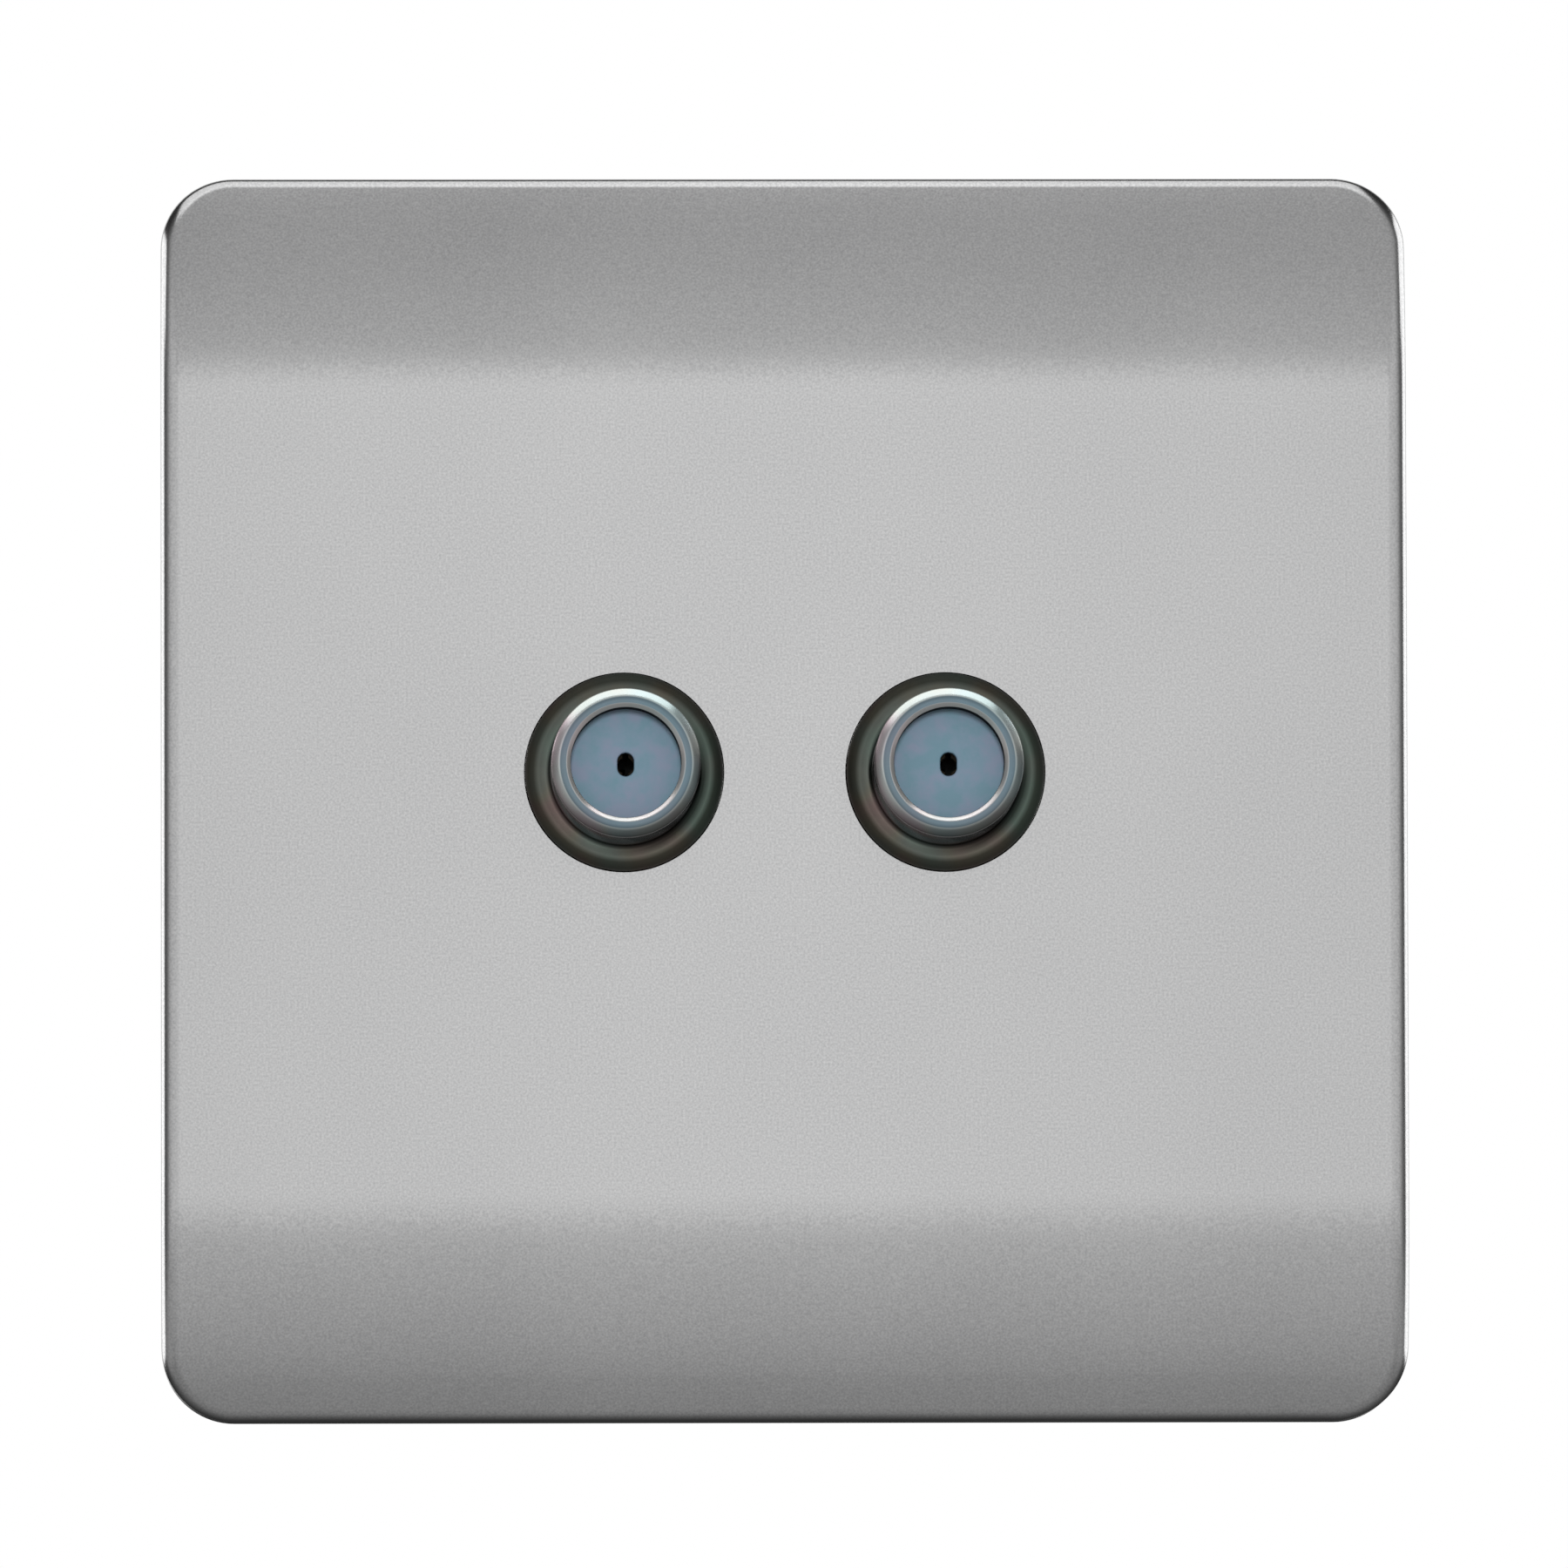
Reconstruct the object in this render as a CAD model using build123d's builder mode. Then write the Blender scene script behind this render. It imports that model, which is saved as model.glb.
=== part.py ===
"""Twin satellite wall socket: a clip-on fascia over a moulded mounting frame with two F couplers.

Millimetres. The origin is the middle of the plate on the wall plane, +Z is up and the front faces -Y.
Distances from the wall are called rises: rise 0 is the wall, and a positive rise is towards the room.
"""

import os
from math import sqrt

from build123d import *

# Fascia: a square plate with a flat middle and a curved band along its top and bottom
PLATE = 80.0
PLATE_CORNER = 4.65
PLATE_RISE = 9.0
BAND = 14.4
BAND_RADIUS = 28.0
EDGE_ROUND = 1.2
SKIN = 2.0

# Sockets: where they stand on the plate
SOCKET_SPACING = 20.6
SOCKET_RAISE = 1.4

# Coupler shells: a 3/8 inch threaded tube with a domed collar and a chamfered lip at each end
THREAD_D = 9.525
SHELL_WALL = 0.96
COLLAR_LEDGE = 1.58
COLLAR_PROUD = 1.1
COLLAR_DOME = 0.95
COLLAR_FILLET = 0.35
FRONT_THREAD = 8.75
REAR_REACH = 8.5
RIM_LIP = 0.28
RIM_DEPTH = 2.2
RIM_CONE = 0.26
RIM_CONE_DEPTH = 0.22
NOSE_LEAD = 0.55
NOSE_LEAD_DEPTH = 0.5
KEY_DEPTH = 0.5

# Insulators and centre contacts inside the coupler shells
PIN_SLOT_WIDTH = 1.05
PIN_SLOT_HEIGHT = 1.5
INSULATOR_FACE = 1.2
CONTACT_D = 2.2
CONTACT_BORE = 1.4
CONTACT_TIP_D = 1.9
CONTACT_TIP_BORE = 1.0
CONTACT_TAPER = 3.0
CONTACT_SLIT = 0.35
CONTACT_SLIT_LENGTH = 6.0

# Panel nuts and lock washers behind the frame's panel
NUT_WALL = 0.8
NUT_THICKNESS = 2.5
NUT_CHAMFER_ANGLE = 60.0
WASHER_WIDTH = 1.75
WASHER_THICKNESS = 0.6
WASHER_RING = 0.9
WASHER_TEETH = 10
WASHER_TOOTH_GAP = 1.3

# Mounting frame: a shallow tray with a hollow pedestal that carries the couplers
TRAY_GAP = 0.9
TRAY_WALL = 1.6
SKIRT = 1.6
PEDESTAL_WALL = 1.8
PEDESTAL_CORNER = 2.5
PANEL = 2.0
NUT_ROOM = 1.8
RIB = 1.2

# Fixing screws, at the centres of a 60 mm wall box
FIXING_SPACING = 60.0
SCREW_D = 3.2
SCREW_LENGTH = 25.0
SCREW_TIP = 0.5
SCREW_NECK_D = 2.8
SCREW_NECK_REACH = 0.8
SCREW_HEAD_D = 6.2
SCREW_HEAD_HEIGHT = 2.2
SCREW_HEAD_ROUND = 1.1
DRIVER_SLOT = 0.9
DRIVER_SLOT_DEPTH = 1.1
FIXING_SLOT_WIDTH = 4.0
FIXING_SLOT_LENGTH = 6.0
FIXING_PAD_MARGIN = 2.6

# Latches: four hooked legs on the fascia that reach through windows in the frame's tray
LATCH_SPACING = 46.0
LATCH_WIDTH = 8.0
LATCH_THICKNESS = 1.3
LATCH_LEDGE = 1.6
LATCH_HOOK = 0.7
LATCH_TIP_RISE = 0.5
LATCH_FLEX = 0.9

# Clearances
FRAME_PLAY = 0.3
COLLAR_PLAY = 0.05
THREAD_PLAY = 0.1
INSULATOR_PLAY = 0.05
CONTACT_PLAY = 0.1
LATCH_PLAY = 0.1

# How far a cutting section runs past the block that it shapes
OVERRUN = 1.0

# Derived sizes of the fascia's shell and the frame inside it
flat_half = PLATE / 2 - BAND
cavity_size = PLATE - 2 * SKIN
cavity_corner = PLATE_CORNER - SKIN
cavity_rise = PLATE_RISE - SKIN
cavity_radius = BAND_RADIUS - SKIN
frame_size = cavity_size - 2 * FRAME_PLAY
frame_corner = cavity_corner - FRAME_PLAY


def band_drop(radius, reach):
    """How far an arc that leaves the flat at a tangent has fallen, at that distance from the flat."""
    return radius - sqrt(radius**2 - reach**2)


def cavity_rise_at(z):
    """The rise of the fascia's inner face at that height above or below the plate's middle."""
    return cavity_rise - band_drop(cavity_radius, max(0.0, z - flat_half))


# Derived rises of the frame's layers
tray_top = cavity_rise_at(frame_size / 2) - TRAY_GAP
tray_back = tray_top - TRAY_WALL
seat = cavity_rise
panel_back = seat - PANEL
washer_back = panel_back - WASHER_THICKNESS
nut_back = washer_back - NUT_THICKNESS

# Derived radii round one socket's axis
thread_radius = THREAD_D / 2
thread_hole = thread_radius + THREAD_PLAY
collar_radius = thread_radius + COLLAR_LEDGE
bore_radius = thread_radius - SHELL_WALL
rim_radius = bore_radius - RIM_LIP
key_flat = thread_radius - KEY_DEPTH
nut_radius = thread_radius + NUT_WALL
washer_radius = thread_radius + WASHER_WIDTH

# Derived sizes of the pedestal, which leaves room round the washers
pedestal_height = 2 * (washer_radius + NUT_ROOM + PEDESTAL_WALL)
pedestal_width = pedestal_height + SOCKET_SPACING

# Derived rises along the couplers
collar_top = PLATE_RISE + COLLAR_PROUD
front_end = collar_top + FRONT_THREAD
rear_end = -REAR_REACH
front_face = front_end - RIM_DEPTH
rear_face = rear_end + RIM_DEPTH
insulator_joint = (front_face + rear_face) / 2
contact_front = front_face - INSULATOR_FACE - CONTACT_PLAY
contact_rear = rear_face + INSULATOR_FACE + CONTACT_PLAY

# Derived places of the latch legs, inside the skirt of the frame
latch_outer = frame_size / 2 - SKIRT - LATCH_LEDGE
latch_inner = latch_outer - LATCH_THICKNESS
latch_hook_top = tray_back - LATCH_PLAY
latch_root = cavity_rise_at(latch_inner) + SKIN / 4

SIDES = {"left": -1, "right": 1}
socket_points = [(side * SOCKET_SPACING / 2, SOCKET_RAISE) for side in SIDES.values()]
fixing_points = [(side * FIXING_SPACING / 2, 0) for side in SIDES.values()]


def wall_plane(rise=0.0):
    """The wall plane moved towards the room: its x is the row's X and its y the row's Z."""
    return Plane.XZ.offset(rise)


def socket_point(side):
    """Where one socket's axis meets the wall plane, in the wall plane's own x and y."""
    return (side * SOCKET_SPACING / 2, SOCKET_RAISE)


def socket_plane(side):
    """A plane through one socket's axis: its x is the radius and its y the rise."""
    x, z = socket_point(side)
    return Plane(origin=(x, 0, z), x_dir=(1, 0, 0), z_dir=(0, 0, -1))


def socket_axis(side):
    """One socket's axis, pointing out of the plate."""
    x, z = socket_point(side)
    return Axis((x, 0, z), (0, -1, 0))


def pillow(size, corner, rise, radius):
    """A square block with rounded corners whose front is flat in the middle and curves back in two bands."""
    # The section runs past the block's outline, so that the two never share a face
    half = size / 2 + OVERRUN
    end_rise = rise - band_drop(radius, half - flat_half)
    with BuildPart() as block:
        with BuildSketch(wall_plane()):
            RectangleRounded(size, size, corner)
        extrude(amount=rise)
        with BuildSketch(Plane.YZ):
            with BuildLine():
                Line((-rise, -flat_half), (-rise, flat_half))
                TangentArc((-rise, flat_half), (-end_rise, half), tangent=(0, 1))
                TangentArc((-rise, -flat_half), (-end_rise, -half), tangent=(0, -1))
                Polyline((-end_rise, half), (OVERRUN, half), (OVERRUN, -half), (-end_rise, -half))
            make_face()
        extrude(amount=half, both=True, mode=Mode.INTERSECT)
    return block.part


def latch_legs():
    """Four hooked legs that hang from the fascia's inner face, near its top and bottom walls."""
    with BuildPart() as legs:
        with BuildSketch(Plane.YZ.offset((LATCH_SPACING - LATCH_WIDTH) / 2)):
            with BuildLine():
                Polyline(
                    (-latch_root, latch_inner),
                    (-latch_root, latch_outer),
                    (-latch_hook_top, latch_outer),
                    (-latch_hook_top, latch_outer + LATCH_HOOK),
                    (-LATCH_TIP_RISE, latch_outer),
                    (-LATCH_TIP_RISE, latch_inner),
                    close=True,
                )
            make_face()
        extrude(amount=LATCH_WIDTH)
        mirror(about=Plane.YZ)
        mirror(about=Plane.XY)
    return legs.part


def coupler_shell(side):
    """The threaded metal tube of one coupler, with its domed collar, chamfered lips and keying flat."""
    rounded_corners = (
        ((collar_radius, collar_top), COLLAR_DOME),
        ((thread_radius, collar_top), COLLAR_FILLET),
    )
    with BuildPart() as shell:
        with BuildSketch(socket_plane(side)) as section:
            with BuildLine():
                Polyline(
                    (rim_radius, rear_end + RIM_CONE_DEPTH),
                    (rim_radius + RIM_CONE, rear_end),
                    (thread_radius - NOSE_LEAD, rear_end),
                    (thread_radius, rear_end + NOSE_LEAD_DEPTH),
                    (thread_radius, seat),
                    (collar_radius, seat),
                    (collar_radius, collar_top),
                    (thread_radius, collar_top),
                    (thread_radius, front_end - NOSE_LEAD_DEPTH),
                    (thread_radius - NOSE_LEAD, front_end),
                    (rim_radius + RIM_CONE, front_end),
                    (rim_radius, front_end - RIM_CONE_DEPTH),
                    (rim_radius, front_face),
                    (bore_radius, front_face),
                    (bore_radius, rear_face),
                    (rim_radius, rear_face),
                    close=True,
                )
            make_face()
            for corner, radius in rounded_corners:
                fillet(section.vertices().sort_by_distance(corner)[0], radius)
        revolve(axis=socket_axis(side))
        # The flat that keys the shell in the frame runs from the collar to the rear end
        with BuildSketch(wall_plane(rear_end)):
            with Locations(socket_point(side)):
                with Locations((0, -key_flat)):
                    Rectangle(THREAD_D, THREAD_D, align=(Align.CENTER, Align.MAX))
        extrude(amount=seat - rear_end, mode=Mode.SUBTRACT)
    return shell


def insulator(side, face, outward):
    """One insulator: a plug in the shell's bore with a pin slot in its outer face and a chamber behind it."""
    chamber_end = face - outward * INSULATOR_FACE
    with BuildPart() as plug:
        with BuildSketch(wall_plane(insulator_joint)):
            with Locations(socket_point(side)):
                Circle(bore_radius - INSULATOR_PLAY)
        extrude(amount=face - insulator_joint)
        with BuildSketch(wall_plane(insulator_joint)):
            with Locations(socket_point(side)):
                Circle(CONTACT_D / 2 + CONTACT_PLAY)
        extrude(amount=chamber_end - insulator_joint, mode=Mode.SUBTRACT)
        with BuildSketch(wall_plane(chamber_end)):
            with Locations(socket_point(side)):
                SlotOverall(PIN_SLOT_HEIGHT, PIN_SLOT_WIDTH, rotation=90)
        extrude(amount=face - chamber_end, mode=Mode.SUBTRACT)
    return plug


def centre_contact(side):
    """One double-ended contact: a tube whose slit ends close in to grip a pin."""
    with BuildPart() as contact:
        with BuildSketch(socket_plane(side)):
            with BuildLine():
                Polyline(
                    (CONTACT_TIP_BORE / 2, contact_rear),
                    (CONTACT_TIP_D / 2, contact_rear),
                    (CONTACT_D / 2, contact_rear + CONTACT_TAPER),
                    (CONTACT_D / 2, contact_front - CONTACT_TAPER),
                    (CONTACT_TIP_D / 2, contact_front),
                    (CONTACT_TIP_BORE / 2, contact_front),
                    (CONTACT_BORE / 2, contact_front - CONTACT_TAPER),
                    (CONTACT_BORE / 2, contact_rear + CONTACT_TAPER),
                    close=True,
                )
            make_face()
        revolve(axis=socket_axis(side))
        for tip, inward in ((contact_front, -1), (contact_rear, 1)):
            with BuildSketch(wall_plane(tip)):
                with Locations(socket_point(side)):
                    Rectangle(2 * CONTACT_D, CONTACT_SLIT)
                    Rectangle(CONTACT_SLIT, 2 * CONTACT_D)
            extrude(amount=inward * CONTACT_SLIT_LENGTH, mode=Mode.SUBTRACT)
    return contact


def panel_nut(side):
    """One hexagon nut, its corners chamfered on the wall side."""
    with BuildPart() as nut:
        with BuildSketch(wall_plane(nut_back)):
            with Locations(socket_point(side)):
                RegularPolygon(nut_radius, 6, major_radius=False)
                Circle(thread_hole, mode=Mode.SUBTRACT)
        extrude(amount=NUT_THICKNESS)
        with BuildSketch(wall_plane(nut_back)):
            with Locations(socket_point(side)):
                Circle(nut_radius)
        extrude(amount=NUT_THICKNESS, taper=-NUT_CHAMFER_ANGLE, mode=Mode.INTERSECT)
    return nut.part


outer_block = pillow(PLATE, PLATE_CORNER, PLATE_RISE, BAND_RADIUS)
inner_block = pillow(cavity_size, cavity_corner, cavity_rise, cavity_radius)
legs_block = latch_legs()

# Fascia: a thin shell open to the wall, with a hole for each collar and its latch legs
with BuildPart() as fascia:
    add(outer_block)
    # The front's outline is every edge off the wall that lies on the block's side walls
    side_walls = fascia.faces().filter_by(lambda face: abs(face.normal_at().Y) < 0.01)
    wall_edges = side_walls.edges().filter_by(Axis.Y, reverse=True)
    fillet(wall_edges.filter_by(lambda edge: edge.center().Y < -0.01), EDGE_ROUND)
    add(inner_block, mode=Mode.SUBTRACT)
    with BuildSketch(wall_plane()):
        with Locations(*socket_points):
            Circle(collar_radius + COLLAR_PLAY)
    extrude(amount=PLATE_RISE, mode=Mode.SUBTRACT)
    add(legs_block)
fascia.part.label = "fascia"

# Mounting frame: the tray, its skirt and the pedestal, hollow from the wall side
with BuildPart() as mounting_frame:
    with BuildSketch(wall_plane()):
        RectangleRounded(frame_size, frame_size, frame_corner)
    extrude(amount=tray_top)
    with BuildSketch(wall_plane()):
        with Locations((0, SOCKET_RAISE)):
            RectangleRounded(pedestal_width, pedestal_height, PEDESTAL_CORNER)
    extrude(amount=seat)
    # The tray's hollow leaves the skirt, the pedestal's walls, the screw pads and the ribs standing
    with BuildSketch(wall_plane()):
        Rectangle(frame_size - 2 * SKIRT, frame_size - 2 * SKIRT)
        with Locations((0, SOCKET_RAISE)):
            RectangleRounded(pedestal_width, pedestal_height, PEDESTAL_CORNER, mode=Mode.SUBTRACT)
        with Locations(*fixing_points):
            SlotOverall(
                FIXING_SLOT_LENGTH + 2 * FIXING_PAD_MARGIN,
                FIXING_SLOT_WIDTH + 2 * FIXING_PAD_MARGIN,
                mode=Mode.SUBTRACT,
            )
        with GridLocations(SOCKET_SPACING, 0, 2, 1):
            Rectangle(RIB, frame_size, mode=Mode.SUBTRACT)
        Rectangle(frame_size, RIB, mode=Mode.SUBTRACT)
    extrude(amount=tray_back, mode=Mode.SUBTRACT)
    with BuildSketch(wall_plane()):
        with Locations((0, SOCKET_RAISE)):
            RectangleRounded(
                pedestal_width - 2 * PEDESTAL_WALL,
                pedestal_height - 2 * PEDESTAL_WALL,
                PEDESTAL_CORNER - PEDESTAL_WALL,
            )
    extrude(amount=panel_back, mode=Mode.SUBTRACT)
    # A keyed hole for each coupler
    with BuildSketch(wall_plane()):
        with Locations(*socket_points):
            Circle(thread_hole)
            with Locations((0, -key_flat - THREAD_PLAY)):
                Rectangle(THREAD_D, THREAD_D, align=(Align.CENTER, Align.MAX), mode=Mode.SUBTRACT)
    extrude(amount=seat, mode=Mode.SUBTRACT)
    # Slots for the fixing screws and windows for the latch legs
    window_height = LATCH_THICKNESS + LATCH_FLEX + LATCH_PLAY
    window_middle = latch_outer + LATCH_PLAY - window_height / 2
    with BuildSketch(wall_plane()):
        with Locations(*fixing_points):
            SlotOverall(FIXING_SLOT_LENGTH, FIXING_SLOT_WIDTH)
        with GridLocations(LATCH_SPACING, 2 * window_middle, 2, 2):
            Rectangle(LATCH_WIDTH + 2 * LATCH_FLEX, window_height)
    extrude(amount=tray_top, mode=Mode.SUBTRACT)
mounting_frame.part.label = "mounting_frame"

# Lock washers: two rings with inward teeth, between the frame's panel and the nuts
with BuildPart() as lock_washers:
    tooth_root = washer_radius - WASHER_RING
    with BuildSketch(wall_plane(washer_back)):
        with Locations(*socket_points):
            Circle(washer_radius)
            Circle(thread_hole, mode=Mode.SUBTRACT)
            with PolarLocations(tooth_root, WASHER_TEETH):
                Rectangle(
                    tooth_root / 2,
                    WASHER_TOOTH_GAP,
                    align=(Align.MAX, Align.CENTER),
                    mode=Mode.SUBTRACT,
                )
    extrude(amount=WASHER_THICKNESS)
lock_washers.part.label = "lock_washers"

# Panel nuts: two hexagon nuts that clamp the couplers to the frame
with BuildPart() as panel_nuts:
    for side in SIDES.values():
        add(panel_nut(side))
panel_nuts.part.label = "panel_nuts"

# Fixing screws: two slotted pan head screws through the frame into the wall box
with BuildPart() as fixing_screws:
    with BuildSketch(wall_plane(tray_top)):
        with Locations(*fixing_points):
            Circle(SCREW_HEAD_D / 2)
    extrude(amount=SCREW_HEAD_HEIGHT)
    fillet(fixing_screws.edges().group_by(Axis.Y)[0], SCREW_HEAD_ROUND)
    with BuildSketch(wall_plane(tray_top + SCREW_HEAD_HEIGHT)):
        with Locations(*fixing_points):
            Rectangle(SCREW_HEAD_D, DRIVER_SLOT)
    extrude(amount=-DRIVER_SLOT_DEPTH, mode=Mode.SUBTRACT)
    # The plain neck passes the frame, and the thread starts just behind the wall plane
    with BuildSketch(wall_plane(tray_top)):
        with Locations(*fixing_points):
            Circle(SCREW_NECK_D / 2)
    extrude(amount=-SCREW_LENGTH)
    with BuildSketch(wall_plane(-SCREW_NECK_REACH)):
        with Locations(*fixing_points):
            Circle(SCREW_D / 2)
    extrude(amount=SCREW_NECK_REACH + tray_top - SCREW_LENGTH)
    chamfer(fixing_screws.edges().group_by(Axis.Y)[-1], SCREW_TIP)
fixing_screws.part.label = "fixing_screws"

os.makedirs("parts", exist_ok=True)
export_step(fascia.part, "parts/fascia.step")
export_step(mounting_frame.part, "parts/mounting_frame.step")
export_step(lock_washers.part, "parts/lock_washers.step")
export_step(panel_nuts.part, "parts/panel_nuts.step")
export_step(fixing_screws.part, "parts/fixing_screws.step")

# One coupler on each side: its shell, an insulator at each end and the contact inside them
for side_name, side in SIDES.items():
    shell = coupler_shell(side)
    shell.part.label = f"{side_name}_coupler_shell"
    export_step(shell.part, f"parts/{side_name}_coupler_shell.step")

    front_insulator = insulator(side, front_face, 1)
    front_insulator.part.label = f"{side_name}_front_insulator"
    export_step(front_insulator.part, f"parts/{side_name}_front_insulator.step")

    rear_insulator = insulator(side, rear_face, -1)
    rear_insulator.part.label = f"{side_name}_rear_insulator"
    export_step(rear_insulator.part, f"parts/{side_name}_rear_insulator.step")

    contact = centre_contact(side)
    contact.part.label = f"{side_name}_centre_contact"
    export_step(contact.part, f"parts/{side_name}_centre_contact.step")
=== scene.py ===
"""Looks of the twin satellite wall socket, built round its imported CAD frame.

Sizes are written in millimetres, as in the part's source, and turned into metres where meshes are made.
Distances from the wall towards the room are called rises, so a point's Y is minus its rise.
"""

import math

import bmesh
import bpy
from mathutils import Matrix, Vector
from mathutils.geometry import delaunay_2d_cdt


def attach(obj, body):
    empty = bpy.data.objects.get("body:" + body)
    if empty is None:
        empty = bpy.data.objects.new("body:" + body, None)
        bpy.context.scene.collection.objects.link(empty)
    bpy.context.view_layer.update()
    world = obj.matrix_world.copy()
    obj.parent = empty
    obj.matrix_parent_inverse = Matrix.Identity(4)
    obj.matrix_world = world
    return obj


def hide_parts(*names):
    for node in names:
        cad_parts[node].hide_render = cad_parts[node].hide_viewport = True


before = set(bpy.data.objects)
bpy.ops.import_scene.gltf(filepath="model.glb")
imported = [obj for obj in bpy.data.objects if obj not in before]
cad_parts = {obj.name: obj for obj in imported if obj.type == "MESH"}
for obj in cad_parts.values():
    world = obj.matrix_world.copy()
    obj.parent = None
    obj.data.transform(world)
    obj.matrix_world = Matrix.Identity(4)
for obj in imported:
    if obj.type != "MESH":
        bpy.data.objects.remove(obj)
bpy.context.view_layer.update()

MM = 0.001

# Fascia
PLATE = 80.0
PLATE_CORNER = 4.65
PLATE_RISE = 9.0
BAND = 14.4
BAND_RADIUS = 28.0
EDGE_ROUND = 1.2
SKIN = 2.0
RIM_EASE = 0.15
HOLE_EASE = 0.03

# Mesh steps on the fascia, and how far its inner mesh points stay from edges
BAND_STEP = 0.45
FLAT_STEP = 2.5
INNER_BAND_STEP = 1.1
INNER_FLAT_STEP = 5.0
CORNER_STEPS = 20
ROUND_STEPS = 16
WALL_HOLD = 0.06
FRONT_HOLD = 0.08
EDGE_MARGIN = 1.0
CORNER_MARGIN = 2.6
HOLE_MARGIN = 1.2

# Latch legs inside the fascia
LATCH_SPACING = 46.0
LATCH_WIDTH = 8.0
LATCH_OUTER = 34.5
LATCH_INNER = 33.2
LATCH_HOOK = 0.7
LATCH_HOOK_RISE = 1.41
LATCH_TIP_RISE = 0.5
LATCH_ROOT_RISE = 6.37

# Sockets
SOCKET_SPACING = 20.6
SOCKET_RAISE = 1.4
THREAD_RADIUS = 4.7625
THREAD_PITCH = 25.4 / 32
THREAD_DEPTH = 0.45
COLLAR_RADIUS = 6.3425
COLLAR_PLAY = 0.05
COLLAR_DOME = 0.95
COLLAR_FILLET = 0.35
COLLAR_EASE = 0.15
SEAT_RISE = 7.0
COLLAR_TOP = 10.1
FRONT_END = 18.85
REAR_END = -8.5
BORE_RADIUS = 3.8025
RIM_RADIUS = 3.5225
RIM_DEPTH = 2.2
RIM_CONE = 0.26
RIM_CONE_DEPTH = 0.22
NOSE_LEAD = 0.55
NOSE_LEAD_DEPTH = 0.5
NOSE_EASE = 0.12
LIP_EASE = 0.05
LEAD_EASE = 0.22
SHELL_HOLD = 0.1
KEY_FLAT = 4.2625

# Insulators
INSULATOR_JOINT = 5.175
INSULATOR_PLAY = 0.05
INSULATOR_FACE = 1.2
PIN_SLOT_WIDTH = 1.05
PIN_SLOT_HEIGHT = 1.5
PIN_SLOT_EASE = 0.1
CHAMBER_RADIUS = 1.2

# Fixing screws
SCREW_PLACE = 30.0
SCREW_RADIUS = 1.6
SCREW_PITCH = 1.0
SCREW_THREAD_DEPTH = 0.36
SCREW_THREAD_START = -0.8
SCREW_END = -21.88
SCREW_TIP = 0.5

# Camera, fitted to the plate's outline and to the sockets
CAMERA_DISTANCE = 1488.4
CAMERA_ELEVATION = -3.78
CAMERA_AZIMUTH = 1.12
CAMERA_ROLL = 0.14
CAMERA_PIXELS_PER_MM = 17.80
ORIGIN_PIXEL = (897.8, 922.0)
IMAGE_SIZE = 1800
SENSOR = 36.0

flat_half = PLATE / 2 - BAND
SIDES = {"left": -1, "right": 1}
PLUG_FACES = {"front": (FRONT_END - RIM_DEPTH, 1), "rear": (REAR_END + RIM_DEPTH, -1)}


def band_drop(radius, reach):
    """How far an arc that leaves the flat at a tangent has fallen, at that distance from the flat."""
    return radius - math.sqrt(radius**2 - reach**2)


def plate_rise(z):
    """The rise of the fascia's front at that height."""
    return PLATE_RISE - band_drop(BAND_RADIUS, max(0.0, abs(z) - flat_half))


def cavity_rise(z):
    """The rise of the fascia's inner face at that height."""
    return PLATE_RISE - SKIN - band_drop(BAND_RADIUS - SKIN, max(0.0, abs(z) - flat_half))


def new_object(name, mesh, slot, *replaced):
    """A piece that rides on the one body, with the CAD parts it replaces hidden; the slot is not used."""
    piece = bpy.data.objects.new(name, mesh)
    bpy.context.scene.collection.objects.link(piece)
    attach(piece, "root")
    if replaced:
        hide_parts(*replaced)
    return piece


def finished_mesh(name, build):
    """A mesh from a bmesh, with its doubles welded, its normals outward and its faces smooth."""
    bmesh.ops.remove_doubles(build, verts=build.verts, dist=1e-7)
    bmesh.ops.recalc_face_normals(build, faces=build.faces)
    mesh = bpy.data.meshes.new(name)
    build.to_mesh(mesh)
    build.free()
    mesh.polygons.foreach_set("use_smooth", [True] * len(mesh.polygons))
    return mesh


def spaced(start, stop, step):
    """Numbers from start to stop in equal steps no longer than the one given, both ends included."""
    count = max(1, math.ceil(abs(stop - start) / step))
    return [start + (stop - start) * i / count for i in range(count + 1)]


def add_ring(build, points):
    """Vertices at points given as x, rise and z in millimetres."""
    return [build.verts.new((x * MM, -rise * MM, z * MM)) for x, rise, z in points]


def bridge(build, ring_a, ring_b):
    """Quads between two closed rings with the same number of vertices."""
    count = len(ring_a)
    for i in range(count):
        j = (i + 1) % count
        build.faces.new((ring_a[i], ring_a[j], ring_b[j], ring_b[i]))


def bridge_all(build, rings, closed=False):
    """Quads between each ring and the next, and between the last and the first where closed."""
    following = rings[1:] + rings[:1] if closed else rings[1:]
    for ring_a, ring_b in zip(rings, following):
        bridge(build, ring_a, ring_b)


# Fascia


def plate_rows(reach, band_step, flat_step):
    """Heights over the plate, closer together on its bands than on its flat."""
    band_rows = spaced(flat_half, reach, band_step)
    flat_rows = spaced(-flat_half, flat_half, flat_step)[1:-1]
    return [-z for z in reversed(band_rows)] + flat_rows + band_rows


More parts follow.
